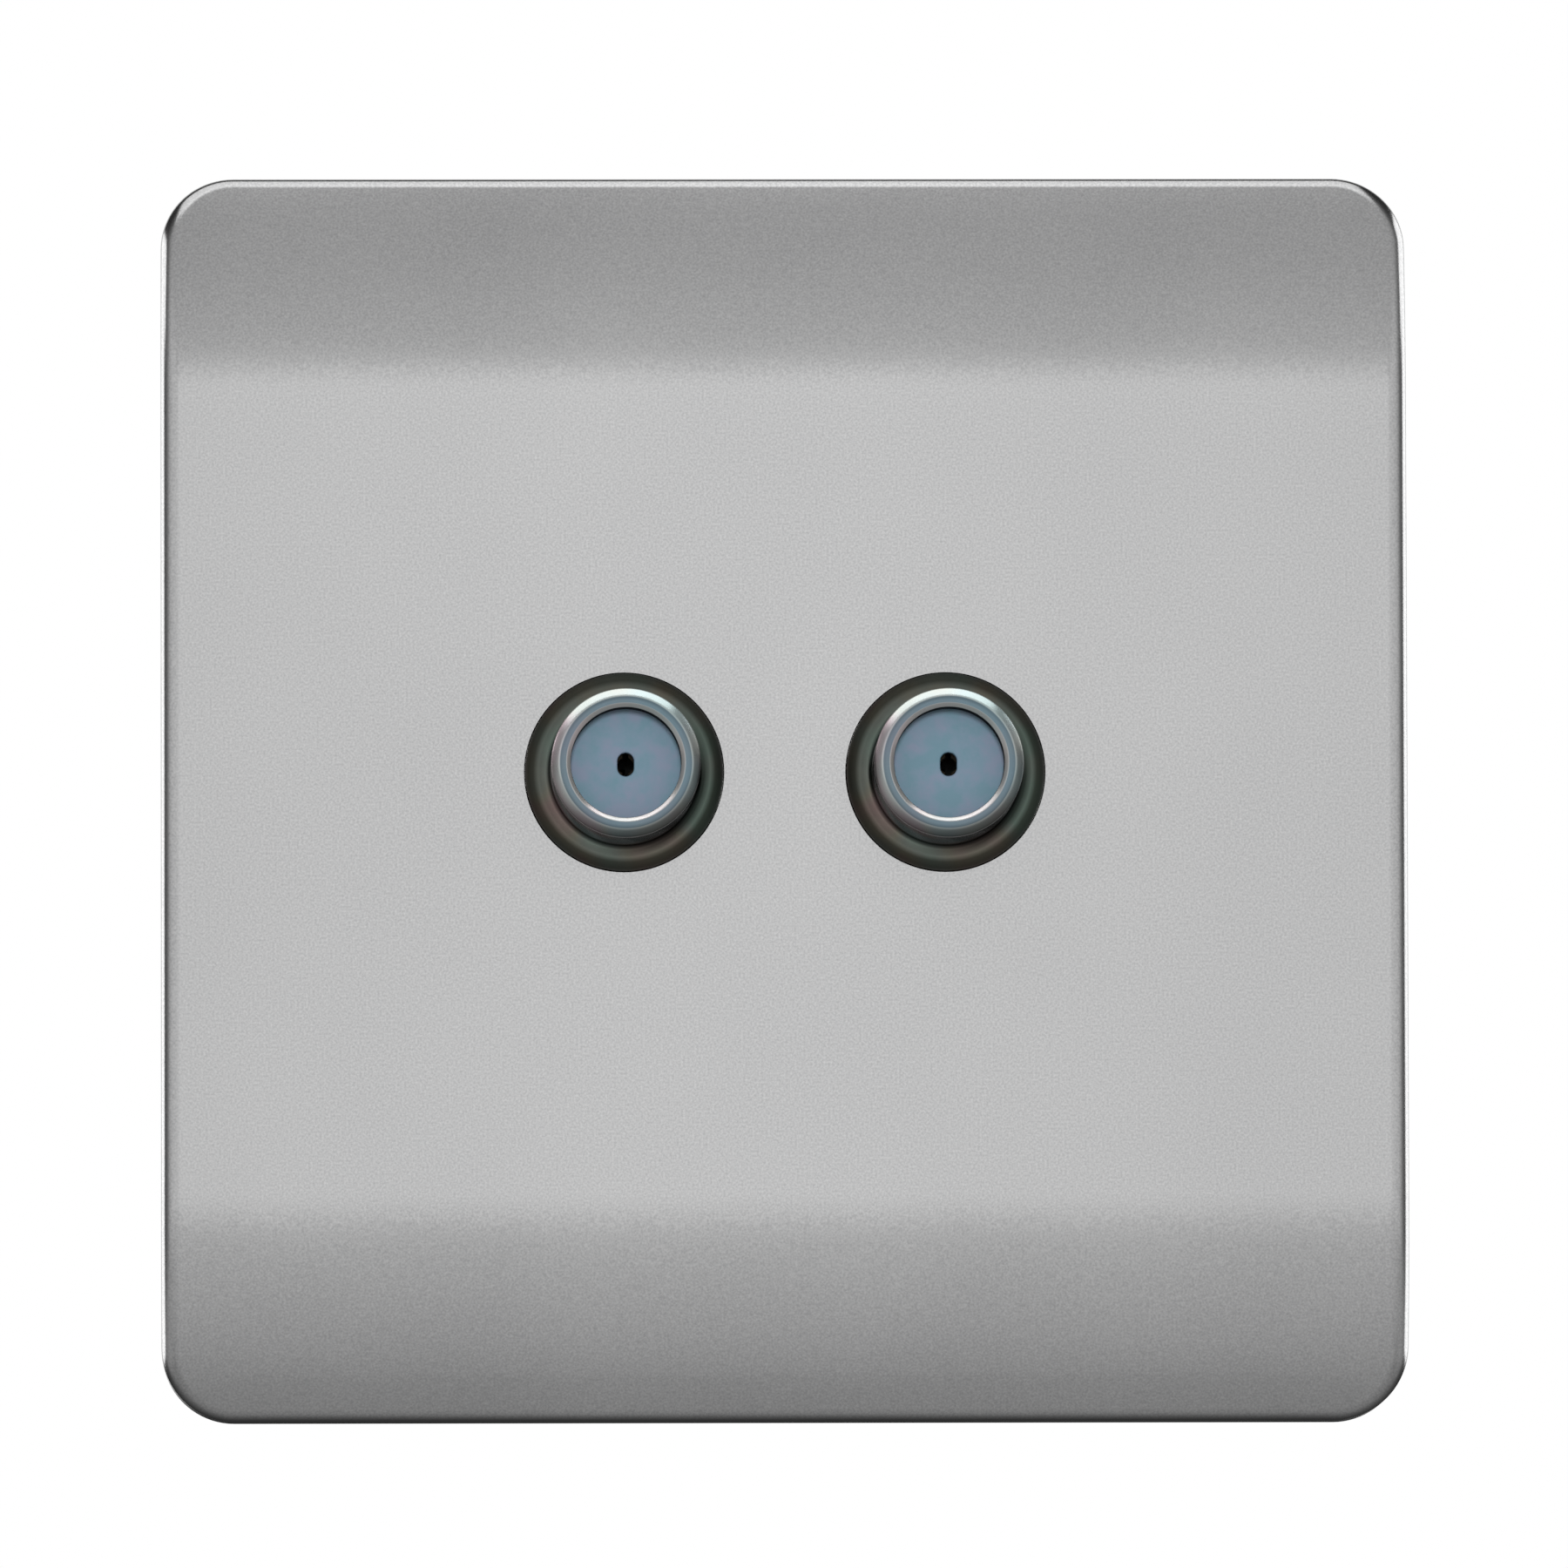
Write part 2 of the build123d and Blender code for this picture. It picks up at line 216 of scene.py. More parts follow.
def outline_stations():
    """Points round the plate's outline: a place on the core, and the way outward from it."""
    reach = PLATE / 2 - PLATE_CORNER
    side_rows = plate_rows(reach, BAND_STEP, FLAT_STEP)
    columns = spaced(-reach, reach, FLAT_STEP)
    turns = [math.radians(90 * i / CORNER_STEPS) for i in range(1, CORNER_STEPS)]
    stations = [((reach, z), (1.0, 0.0)) for z in side_rows]
    stations += [((reach, reach), (math.cos(a), math.sin(a))) for a in turns]
    stations += [((x, reach), (0.0, 1.0)) for x in reversed(columns)]
    stations += [((-reach, reach), (-math.sin(a), math.cos(a))) for a in turns]
    stations += [((-reach, z), (-1.0, 0.0)) for z in reversed(side_rows)]
    stations += [((-reach, -reach), (-math.cos(a), -math.sin(a))) for a in turns]
    stations += [((x, -reach), (0.0, -1.0)) for x in columns]
    stations += [((reach, -reach), (math.sin(a), -math.cos(a))) for a in turns]
    return stations


def station_point(station, inset):
    """The point that far inside the plate's outline at one station."""
    (x, z), (nx, nz) = station
    reach = PLATE_CORNER - inset
    return x + nx * reach, z + nz * reach


def wall_point(station, inset, rise):
    """A point of the plate's walls as x, rise and z."""
    x, z = station_point(station, inset)
    return x, rise, z


def round_point(station, share):
    """A point of the front edge's round, from the wall at share 0 to the front at share 1."""
    x, z = station_point(station, EDGE_ROUND)
    reach = max(0.0, abs(z) - flat_half)
    rise = PLATE_RISE - EDGE_ROUND - band_drop(BAND_RADIUS - EDGE_ROUND, reach)
    tilt = math.asin(reach / (BAND_RADIUS - EDGE_ROUND))
    wall_way = Vector((station[1][0], 0.0, station[1][1]))
    front_way = Vector((0.0, math.cos(tilt), math.copysign(math.sin(tilt), z)))
    return tuple(Vector((x, rise, z)) + EDGE_ROUND * wall_way.slerp(front_way, share))


def front_point(station, step):
    """A point on the front face, that far in from the end of the edge's round."""
    x, _, z = round_point(station, 1.0)
    x -= station[1][0] * step
    z -= station[1][1] * step
    return x, plate_rise(z), z


def cavity_point(station):
    """A point of the inner face's outline."""
    x, z = station_point(station, SKIN)
    return x, cavity_rise(z), z


def hole_circle(centre, radius, count=96):
    """Points on a circle round one socket's axis."""
    turns = [2 * math.pi * i / count for i in range(count)]
    return [(centre[0] + radius * math.cos(a), centre[1] + radius * math.sin(a)) for a in turns]


def cap_points(band_step, flat_step):
    """Places over the plate, clear of its edge, its corners and its collar holes."""
    reach = PLATE / 2 - EDGE_ROUND - EDGE_MARGIN
    core = PLATE / 2 - PLATE_CORNER
    points = []
    for z in plate_rows(reach, band_step, flat_step):
        for x in spaced(-reach, reach, flat_step):
            past_core = math.hypot(max(0, abs(x) - core), max(0, abs(z) - core))
            from_axis = math.hypot(abs(x) - SOCKET_SPACING / 2, z - SOCKET_RAISE)
            if past_core < PLATE_CORNER - CORNER_MARGIN and from_axis > COLLAR_RADIUS + HOLE_MARGIN:
                points.append(Vector((x, z)))
    return points


def filled_cap(build, boundary, holes, rise_at, band_step, flat_step):
    """Fills the area between a boundary ring and hole rings with triangles that follow a curved face."""
    loops = [boundary] + holes
    known = [vert for loop in loops for vert in loop]
    flat = [Vector((vert.co.x / MM, vert.co.z / MM)) for vert in known]
    flat += cap_points(band_step, flat_step)
    edges = []
    start = 0
    for loop in loops:
        count = len(loop)
        edges += [(start + i, start + (i + 1) % count) for i in range(count)]
        start += count
    points, _, faces, origins, _, _ = delaunay_2d_cdt(flat, edges, [], 1, 1e-6)
    verts = []
    for point, source in zip(points, origins):
        if source and source[0] < len(known):
            verts.append(known[source[0]])
        else:
            verts.append(build.verts.new((point.x * MM, -rise_at(point.y) * MM, point.y * MM)))
    hole_sets = [set(hole) for hole in holes]
    for face in faces:
        corners = [verts[i] for i in face]
        if not any(hole.issuperset(corners) for hole in hole_sets):
            build.faces.new(corners)


def collar_hole(build, side):
    """One collar hole with an eased front edge, given back as its front and back rings."""
    centre = (side * SOCKET_SPACING / 2, SOCKET_RAISE)
    radius = COLLAR_RADIUS + COLLAR_PLAY
    rings = []
    # Each ring's growth past the hole's radius, and its drop behind the plate's front
    steps = ((0.05, 0.0), (HOLE_EASE, 0.0), (0.0, HOLE_EASE), (0.0, 0.12), (0.0, SKIN))
    for grow, drop in steps:
        circle = hole_circle(centre, radius + grow)
        rings.append(add_ring(build, [(x, PLATE_RISE - drop, z) for x, z in circle]))
    bridge_all(build, rings)
    return rings[0], rings[-1]


def fascia_mesh():
    """The fascia's shell: rounded front, walls, wall rim, inner face and the two collar holes."""
    build = bmesh.new()
    stations = outline_stations()

    def ring(point_at):
        return add_ring(build, [point_at(station) for station in stations])

    # Outer walls, from the wall rim up to the round
    rings = [ring(lambda s: wall_point(s, RIM_EASE, 0.0))]
    rings.append(ring(lambda s: wall_point(s, 0.0, RIM_EASE)))
    rings.append(ring(lambda s: wall_point(s, 0.0, RIM_EASE + WALL_HOLD)))
    # The round, with a close ring beyond each end to hold the faces there flat
    rings.append(ring(lambda s: wall_point(s, 0.0, round_point(s, 0.0)[1] - WALL_HOLD)))
    for i in range(ROUND_STEPS + 1):
        rings.append(ring(lambda s: round_point(s, i / ROUND_STEPS)))
    rings.append(ring(lambda s: front_point(s, FRONT_HOLD)))
    bridge_all(build, rings)
    # The front face between the round and the collar holes
    holes = [collar_hole(build, side) for side in SIDES.values()]
    front_holes = [front for front, _ in holes]
    back_holes = [back for _, back in holes]
    filled_cap(build, rings[-1], front_holes, plate_rise, BAND_STEP, FLAT_STEP)
    # The rim against the wall, inner walls and inner face, which take the second material
    coated = len(build.faces)
    inner_rim = ring(lambda s: wall_point(s, SKIN, 0.0))
    bridge(build, rings[0], inner_rim)
    inner_top = ring(cavity_point)
    bridge(build, inner_top, inner_rim)
    filled_cap(build, inner_top, back_holes, cavity_rise, INNER_BAND_STEP, INNER_FLAT_STEP)
    add_latch_legs(build)
    for face in list(build.faces)[coated:]:
        face.material_index = 1
    mesh = finished_mesh("fascia_shell", build)
    mesh.set_sharp_from_angle(angle=math.radians(30))
    return mesh


def add_latch_legs(build):
    """The four hooked legs, each a closed prism that starts inside the fascia's skin."""
    section = (
        (LATCH_ROOT_RISE, LATCH_INNER),
        (LATCH_ROOT_RISE, LATCH_OUTER),
        (LATCH_HOOK_RISE, LATCH_OUTER),
        (LATCH_HOOK_RISE, LATCH_OUTER + LATCH_HOOK),
        (LATCH_TIP_RISE, LATCH_OUTER),
        (LATCH_TIP_RISE, LATCH_INNER),
    )
    for side in (-1, 1):
        for end in (-1, 1):
            ends = []
            for edge in (-1, 1):
                x = side * LATCH_SPACING / 2 + edge * LATCH_WIDTH / 2
                ends.append(add_ring(build, [(x, rise, end * z) for rise, z in section]))
            bridge(build, ends[0], ends[1])
            build.faces.new(ends[0])
            build.faces.new(ends[1])


# Coupler shells


def arc_points(centre, radius, start, stop, steps):
    """Points of an arc in radius and rise, from one angle to another in degrees."""
    angles = [math.radians(start + (stop - start) * i / steps) for i in range(steps + 1)]
    return [(centre[0] + radius * math.cos(a), centre[1] + radius * math.sin(a)) for a in angles]


def eased_path(corners, eases, steps=5):
    """A path through corners in radius and rise, with a curve of its own ease at each inner one."""
    path = [corners[0]]
    for before, corner, after, ease in zip(corners, corners[1:], corners[2:], eases):
        middle = Vector(corner)
        start = middle + (Vector(before) - middle).normalized() * ease
        stop = middle + (Vector(after) - middle).normalized() * ease
        for i in range(steps + 1):
            share = i / steps
            path.append(tuple(start.lerp(middle, share).lerp(middle.lerp(stop, share), share)))
    path.append(corners[-1])
    return path


def nose_path(end, outward):
    """A nose's end from the bore over the lip to the thread, in radius and rise."""
    corners = [
        (BORE_RADIUS, end - outward * RIM_DEPTH),
        (RIM_RADIUS, end - outward * RIM_DEPTH),
        (RIM_RADIUS, end - outward * RIM_CONE_DEPTH),
        (RIM_RADIUS + RIM_CONE, end),
        (THREAD_RADIUS - NOSE_LEAD, end),
        (THREAD_RADIUS, end - outward * NOSE_LEAD_DEPTH),
        (THREAD_RADIUS, end - outward * (NOSE_LEAD_DEPTH + 2 * NOSE_EASE)),
    ]
    return eased_path(corners, (NOSE_EASE, LIP_EASE, LIP_EASE, LEAD_EASE, NOSE_EASE))


def threaded_path(low, high):
    """Places along a thread as (rise, share of the full depth), which runs out over a pitch at each end."""
    places = []
    for rise in spaced(low, high, THREAD_PITCH / 14):
        run_in = min(1.0, (rise - low) / THREAD_PITCH)
        run_out = min(1.0, (high - rise) / THREAD_PITCH)
        places.append((rise, min(run_in, run_out)))
    return places


def shell_profile():
    """The shell's closed section as (radius, rise, thread share), from the rear nose to the front."""
    profile = []

    def plain(points):
        profile.extend((radius, rise, 0.0) for radius, rise in points)

    def threaded(low, high):
        profile.extend((THREAD_RADIUS, rise, share) for rise, share in threaded_path(low, high))

    lead = NOSE_LEAD_DEPTH + 3 * NOSE_EASE
    dome_centre = (COLLAR_RADIUS - COLLAR_DOME, COLLAR_TOP - COLLAR_DOME)
    fillet_centre = (THREAD_RADIUS + COLLAR_FILLET, COLLAR_TOP + COLLAR_FILLET)
    plain(nose_path(REAR_END, -1))
    threaded(REAR_END + lead, SEAT_RISE - 2 * SHELL_HOLD)
    plain([(THREAD_RADIUS, SEAT_RISE), (THREAD_RADIUS + SHELL_HOLD, SEAT_RISE)])
    plain([(COLLAR_RADIUS - COLLAR_EASE, SEAT_RISE), (COLLAR_RADIUS, SEAT_RISE + COLLAR_EASE)])
    plain([(COLLAR_RADIUS, SEAT_RISE + COLLAR_EASE + SHELL_HOLD)])
    plain(arc_points(dome_centre, COLLAR_DOME, 0, 90, 14))
    plain(arc_points(fillet_centre, COLLAR_FILLET, 270, 180, 8))
    threaded(COLLAR_TOP + COLLAR_FILLET + SHELL_HOLD, FRONT_END - lead)
    plain(reversed(nose_path(FRONT_END, 1)))
    return profile


def thread_cut(phase, crest=0.125, flank=0.75):
    """How deep a thread's groove is at that phase of its pitch, from 0 on the crest to 1 at the root."""
    from_crest = abs((phase % 1.0) - 0.5) * 2
    return min(1.0, max(0.0, (from_crest - crest) / flank))


def shell_mesh(name, side, count=128):
    """One coupler's shell: its section turned round the axis, with cut threads and a flat behind."""
    build = bmesh.new()
    axis = (side * SOCKET_SPACING / 2, SOCKET_RAISE)
    rings = []
    for radius, rise, share in shell_profile():
        points = []
        for i in range(count):
            turn = 2 * math.pi * i / count
            cut = share * THREAD_DEPTH * thread_cut(rise / THREAD_PITCH - i / count)
            x = (radius - cut) * math.cos(turn)
            z = (radius - cut) * math.sin(turn)
            if rise < SEAT_RISE - SHELL_HOLD:
                z = max(z, -KEY_FLAT)
            points.append((axis[0] + x, rise, axis[1] + z))
        rings.append(add_ring(build, points))
    bridge_all(build, rings, closed=True)
    return finished_mesh(name, build)


# Insulators


def slot_outline(width, height, count):
    """Points of an upright slot with round ends, as offsets from its middle."""
    shift = (height - width) / 2
    points = []
    for i in range(count):
        turn = 2 * math.pi * (i + 0.5) / count
        x = width / 2 * math.cos(turn)
        z = width / 2 * math.sin(turn)
        points.append((x, z + math.copysign(shift, z)))
    return points


def insulator_mesh(name, side, face, outward, count=96):
    """One insulator: a plug with an eased rim and a pin slot in its face, hollow behind the face."""
    build = bmesh.new()
    axis = (side * SOCKET_SPACING / 2, SOCKET_RAISE)
    radius = BORE_RADIUS - INSULATOR_PLAY
    ease = PIN_SLOT_EASE
    chamber_end = face - outward * INSULATOR_FACE
    rings = []

    def circle(ring_radius, rise):
        rings.append([(x, rise, z) for x, z in slot_outline(2 * ring_radius, 2 * ring_radius, count)])

    def slot(grow, rise):
        outline = slot_outline(PIN_SLOT_WIDTH + 2 * grow, PIN_SLOT_HEIGHT + 2 * grow, count)
        rings.append([(x, rise, z) for x, z in outline])

    circle(CHAMBER_RADIUS, INSULATOR_JOINT)
    circle(radius, INSULATOR_JOINT)
    circle(radius, face - outward * ease)
    circle(radius - 0.3 * ease, face - outward * 0.3 * ease)
    circle(radius - ease, face)
    circle(radius - 3 * ease, face)
    slot(3 * ease, face)
    slot(ease, face)
    slot(0.3 * ease, face - outward * 0.3 * ease)
    slot(0.0, face - outward * ease)
    slot(0.0, chamber_end)
    circle(CHAMBER_RADIUS, chamber_end)
    loops = [add_ring(build, [(axis[0] + x, rise, axis[1] + z) for x, rise, z in ring]) for ring in rings]
    bridge_all(build, loops, closed=True)
    return finished_mesh(name, build)


# Fixing screws


def screws_mesh():
    """The two screws: the solids' heads and necks, with threaded shanks in place of their plain ones."""
    build = bmesh.new()
    build.from_mesh(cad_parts["fixing_screws"].data)
    bmesh.ops.remove_doubles(build, verts=build.verts, dist=1e-6)
    # The plain shanks are the faces that lie beyond the place where the thread starts
    limit = -(SCREW_THREAD_START + 0.05) * MM
    shanks = [face for face in build.faces if face.calc_center_median().y > limit]
    bmesh.ops.delete(build, geom=shanks, context="FACES")
    bmesh.ops.holes_fill(build, edges=[edge for edge in build.edges if edge.is_boundary])
    for side in SIDES.values():
        add_screw_shank(build, side * SCREW_PLACE)
    mesh = finished_mesh("threaded_screws", build)
    mesh.set_sharp_from_angle(angle=math.radians(40))
    return mesh


def add_screw_shank(build, x, count=40):
    """One closed shank with a cut thread and a tapered tip."""
    rings = []
    for rise in spaced(SCREW_END, SCREW_THREAD_START, SCREW_PITCH / 12):
        tip = max(0.0, SCREW_TIP - (rise - SCREW_END))
        points = []
        for i in range(count):
            turn = 2 * math.pi * i / count
            cut = SCREW_THREAD_DEPTH * thread_cut(rise / SCREW_PITCH - i / count)
            radius = SCREW_RADIUS - max(cut, tip)
            points.append((x + radius * math.cos(turn), rise, radius * math.sin(turn)))
        rings.append(add_ring(build, points))
    bridge_all(build, rings)
    build.faces.new(rings[0])
    build.faces.new(rings[-1])


# Materials


class Nodes:
    """A node tree with short calls for the nodes used here."""

    def __init__(self, tree):
        self.tree = tree
        self.tree.nodes.clear()

    def add(self, kind, **settings):
        node = self.tree.nodes.new(kind)
        for key, value in settings.items():
            setattr(node, key, value)
        return node

    def link(self, output, target):
        self.tree.links.new(output, target)

    def set(self, target, value):
        """Links a socket's output, or sets a plain value."""
        if isinstance(value, bpy.types.NodeSocket):
            self.link(value, target)
        else:
            target.default_value = value

    def position(self):
        """The point on the piece, in metres in the shared frame."""
        return self.add("ShaderNodeTexCoord").outputs["Object"]

    def split(self, vector):
        node = self.add("ShaderNodeSeparateXYZ")
        self.link(vector, node.inputs[0])
        return node.outputs["X"], node.outputs["Y"], node.outputs["Z"]

    def math(self, operation, a, b=0.0):
        node = self.add("ShaderNodeMath", operation=operation)
        self.set(node.inputs[0], a)
        self.set(node.inputs[1], b)
        return node.outputs[0]

    def noise(self, vector, scale, detail=2.0, roughness=0.5):
        node = self.add("ShaderNodeTexNoise")
        self.link(vector, node.inputs["Vector"])
        node.inputs["Scale"].default_value = scale
        node.inputs["Detail"].default_value = detail
        node.inputs["Roughness"].default_value = roughness
        return node.outputs["Fac"]

    def weighted(self, a, weight_a, b, weight_b):
        """The sum of two values, each times its weight."""
        return self.math("ADD", self.math("MULTIPLY", a, weight_a), self.math("MULTIPLY", b, weight_b))

    def ramp(self, factor, stops):
        """A colour ramp through stops of (position, colour or grey)."""
        node = self.add("ShaderNodeValToRGB")
        elements = node.color_ramp.elements
        while len(elements) < len(stops):
            elements.new(0.5)
        for element, (position, colour) in zip(elements, stops):
            element.position = position
            rgb = colour if isinstance(colour, tuple) else (colour, colour, colour)
            element.color = (*rgb, 1.0)
        self.link(factor, node.inputs["Fac"])
        return node.outputs["Color"]

    def map_range(self, value, low, high, to_low=0.0, to_high=1.0, kind="LINEAR"):
        node = self.add("ShaderNodeMapRange", interpolation_type=kind)
        self.link(value, node.inputs["Value"])
        node.inputs["From Min"].default_value = low
        node.inputs["From Max"].default_value = high
        node.inputs["To Min"].default_value = to_low
        node.inputs["To Max"].default_value = to_high
        return node.outputs["Result"]

    # Inputs 6 and 7 and output 2 of the Mix node are its colours

    def mix(self, factor, a, b):
        """Colour a where the factor is 0, and b where it is 1."""
        node = self.add("ShaderNodeMix", data_type="RGBA")
        self.set(node.inputs["Factor"], factor)
        self.set(node.inputs[6], a)
        self.set(node.inputs[7], b)
        return node.outputs[2]

    def multiply(self, a, b, factor=1.0):
        """Colour a where the factor is 0, and a times b where it is 1."""
        node = self.add("ShaderNodeMix", data_type="RGBA", blend_type="MULTIPLY")
        self.set(node.inputs["Factor"], factor)
        self.link(a, node.inputs[6])
        self.link(b, node.inputs[7])
        return node.outputs[2]


def new_material(name):
    """A material with a Principled shader, and its node helper."""
    material = bpy.data.materials.new(name)
    material.use_nodes = True
    nodes = Nodes(material.node_tree)
    shader = nodes.add("ShaderNodeBsdfPrincipled")
    output = nodes.add("ShaderNodeOutputMaterial")
    nodes.link(shader.outputs["BSDF"], output.inputs["Surface"])
    return material, nodes, shader


def add_bump(nodes, shader, height, strength, distance, edge_radius=0.0):
    """A bump on the shader's normal, with edges shaded as small rounds where a radius is given."""
    bump = nodes.add("ShaderNodeBump")
    bump.inputs["Strength"].default_value = strength
    bump.inputs["Distance"].default_value = distance
    nodes.link(height, bump.inputs["Height"])
    if edge_radius:
        edges = nodes.add("ShaderNodeBevel")
        edges.inputs["Radius"].default_value = edge_radius
        nodes.link(edges.outputs["Normal"], bump.inputs["Normal"])
    nodes.link(bump.outputs["Normal"], shader.inputs["Normal"])


def silver_material():
    """The fascia's satin silver coat, with a fine metallic grain."""
    material, nodes, shader = new_material("silver_coat")
    position = nodes.position()
    grain = nodes.noise(position, 7000.0, 1.0)
    cloud = nodes.noise(position, 60.0)
    tone = nodes.weighted(grain, 0.8, cloud, 0.2)
    coat = nodes.ramp(tone, [(0.28, (0.451, 0.452, 0.456)), (0.72, (0.624, 0.624, 0.624))])
    # Painted shade: the coat is darker towards the two sides
    x, _, _ = nodes.split(position)
    across = nodes.map_range(x, -PLATE / 2 * MM, PLATE / 2 * MM)
    side_shade_stops = [(0.0, 0.925), (0.08, 0.955), (0.35, 1.0), (0.55, 1.0), (0.92, 0.95), (1.0, 0.93)]
    side_shade = nodes.ramp(across, side_shade_stops)
    nodes.link(nodes.multiply(coat, side_shade), shader.inputs["Base Color"])
    shader.inputs["Metallic"].default_value = 1.0
    nodes.link(nodes.map_range(cloud, 0.2, 0.8, 0.18, 0.21), shader.inputs["Roughness"])
    add_bump(nodes, shader, grain, 0.005, 0.00002)
    return material


def socket_zones(nodes):
    """Coordinates that repeat at each socket, and the radius, rise, x and z there in millimetres."""
    frame_x, frame_y, frame_z = nodes.split(nodes.position())
    side = nodes.math("SIGN", frame_x)
    x = nodes.math("DIVIDE", frame_x, MM)
    x = nodes.math("SUBTRACT", x, nodes.math("MULTIPLY", side, SOCKET_SPACING / 2))
    z = nodes.math("SUBTRACT", nodes.math("DIVIDE", frame_z, MM), SOCKET_RAISE)
    rise = nodes.math("DIVIDE", frame_y, -MM)
    local = nodes.add("ShaderNodeCombineXYZ")
    nodes.link(x, local.inputs["X"])
    nodes.link(rise, local.inputs["Y"])
    nodes.link(z, local.inputs["Z"])
    squares = nodes.math("ADD", nodes.math("MULTIPLY", x, x), nodes.math("MULTIPLY", z, z))
    return local.outputs["Vector"], nodes.math("SQRT", squares), rise, x, z


def nose_colour(nodes, radius, x, z):
    """The nose in lit and shaded copies of its plating: a bore wall painted black as shade, a lit lip, a
    ring in painted shade, and a lit chamfer with painted shade below.
    """
    # Lit and shaded copies of one plating: the near-black bore wall and the darker ring are painted shade,
    # the paler lip and chamfer are lit copies
    dark = (0.012, 0.012, 0.014)
    lit_lip = (0.92, 0.93, 0.93)
    shaded_ring = (0.180, 0.245, 0.290)
    lit_chamfer = (0.65, 0.725, 0.73)
    stops = [(0.00, dark), (0.02, lit_lip), (0.19, lit_lip), (0.25, shaded_ring), (0.53, shaded_ring), (0.59, lit_chamfer)]
    colour = nodes.ramp(nodes.map_range(radius, RIM_RADIUS, THREAD_RADIUS), stops)
    # Painted shade: the chamfer darkens downward, and its lower half towards its outer edge as well
    downward = nodes.weighted(x, 0.45, z, -0.9)
    chamfer_start = 4.12
    chamfer_full = 4.38
    on_chamfer = nodes.map_range(radius, chamfer_start, chamfer_full)
    colour = nodes.multiply(colour, nodes.map_range(downward, -1.8, 4.0, 1.0, 0.34), on_chamfer)
    edge_start = 4.40
    edge_shade = nodes.map_range(radius, edge_start, THREAD_RADIUS, 1.0, 0.5)
    colour = nodes.multiply(colour, edge_shade, nodes.map_range(z, 1.0, -1.5))
    # Painted shade: the lip's cone is darker above, so it is brightest at the bottom
    cone_end = RIM_RADIUS + RIM_CONE
    on_cone = nodes.map_range(radius, cone_end + 0.04, cone_end)
    return nodes.multiply(colour, nodes.map_range(z, -3.3, -1.0, 1.0, 0.68), on_cone)


def collar_colour(nodes, radius, z):
    """The collar: dark plating, with painted shade in the fillet and on the rim, a paler crown, and painted
    shade towards the top.
    """
    fillet = (0.06, 0.06, 0.055)
    crown = (0.165, 0.170, 0.150)
    shoulder = (0.075, 0.075, 0.063)
    rim = (0.070, 0.070, 0.060)
    # Painted shade: the fillet by the barrel and the rim by the plate are darker than the crown
    stops = [(0.03, fillet), (0.20, crown), (0.48, crown), (0.68, shoulder), (1.00, rim)]
    colour = nodes.ramp(nodes.map_range(radius, THREAD_RADIUS, COLLAR_RADIUS), stops)
    return nodes.multiply(colour, nodes.map_range(z, -5.5, 5.5, 1.18, 0.80))


def film_colour(nodes, local, x):
    """Patches of interference colour, from pink through olive to teal."""
    pink = (1.25, 0.84, 0.90)
    olive = (1.08, 1.00, 0.90)
    blue = (0.93, 1.00, 1.00)
    teal = (0.82, 1.10, 1.05)
    patches = nodes.math("MULTIPLY", nodes.noise(local, 0.26, 1.0), 0.75)
    hue = nodes.math("ADD", patches, nodes.map_range(x, -6.0, 6.0, 0.05, 0.20))
    return nodes.ramp(hue, [(0.36, pink), (0.46, olive), (0.54, blue), (0.64, teal)])


